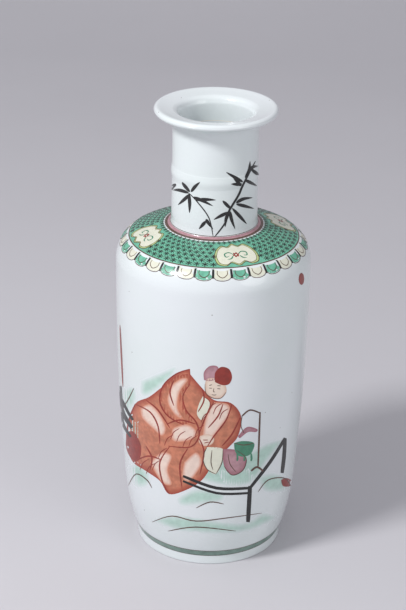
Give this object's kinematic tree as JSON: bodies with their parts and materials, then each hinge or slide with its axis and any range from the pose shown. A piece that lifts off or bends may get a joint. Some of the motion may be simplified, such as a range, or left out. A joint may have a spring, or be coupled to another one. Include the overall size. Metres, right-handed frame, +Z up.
{
  "type": "rouleau vase",
  "caption": "Tall glazed porcelain vase with a cylindrical body, sloping shoulder, straight ringed neck and dished mouth, luted from turned sections.",
  "frame": {"origin": "centre of the flat face of the foot ring that the vase stands on", "axes": "+Z up along the vase's turning axis; -Y is the side of the main painting"},
  "size_m": [0.1854, 0.1854, 0.45],
  "materials": {
    "white_glaze": "glossy white glaze with a faint cool tint",
    "slip_clay": "matt fired slip",
    "enamel": "glossy overglaze enamel"
  },
  "bodies": {
    "root": {"foot_ring": "white_glaze", "foot_luting": "slip_clay", "base_disc": "white_glaze", "base_luting": "slip_clay", "lower_body": "white_glaze", "body_luting": "slip_clay", "upper_body": "white_glaze", "shoulder_luting": "slip_clay", "shoulder": "white_glaze", "neck_luting": "slip_clay", "neck": "white_glaze", "mouth_luting": "slip_clay", "mouth_rim": "white_glaze"}
  },
  "joints": []
}
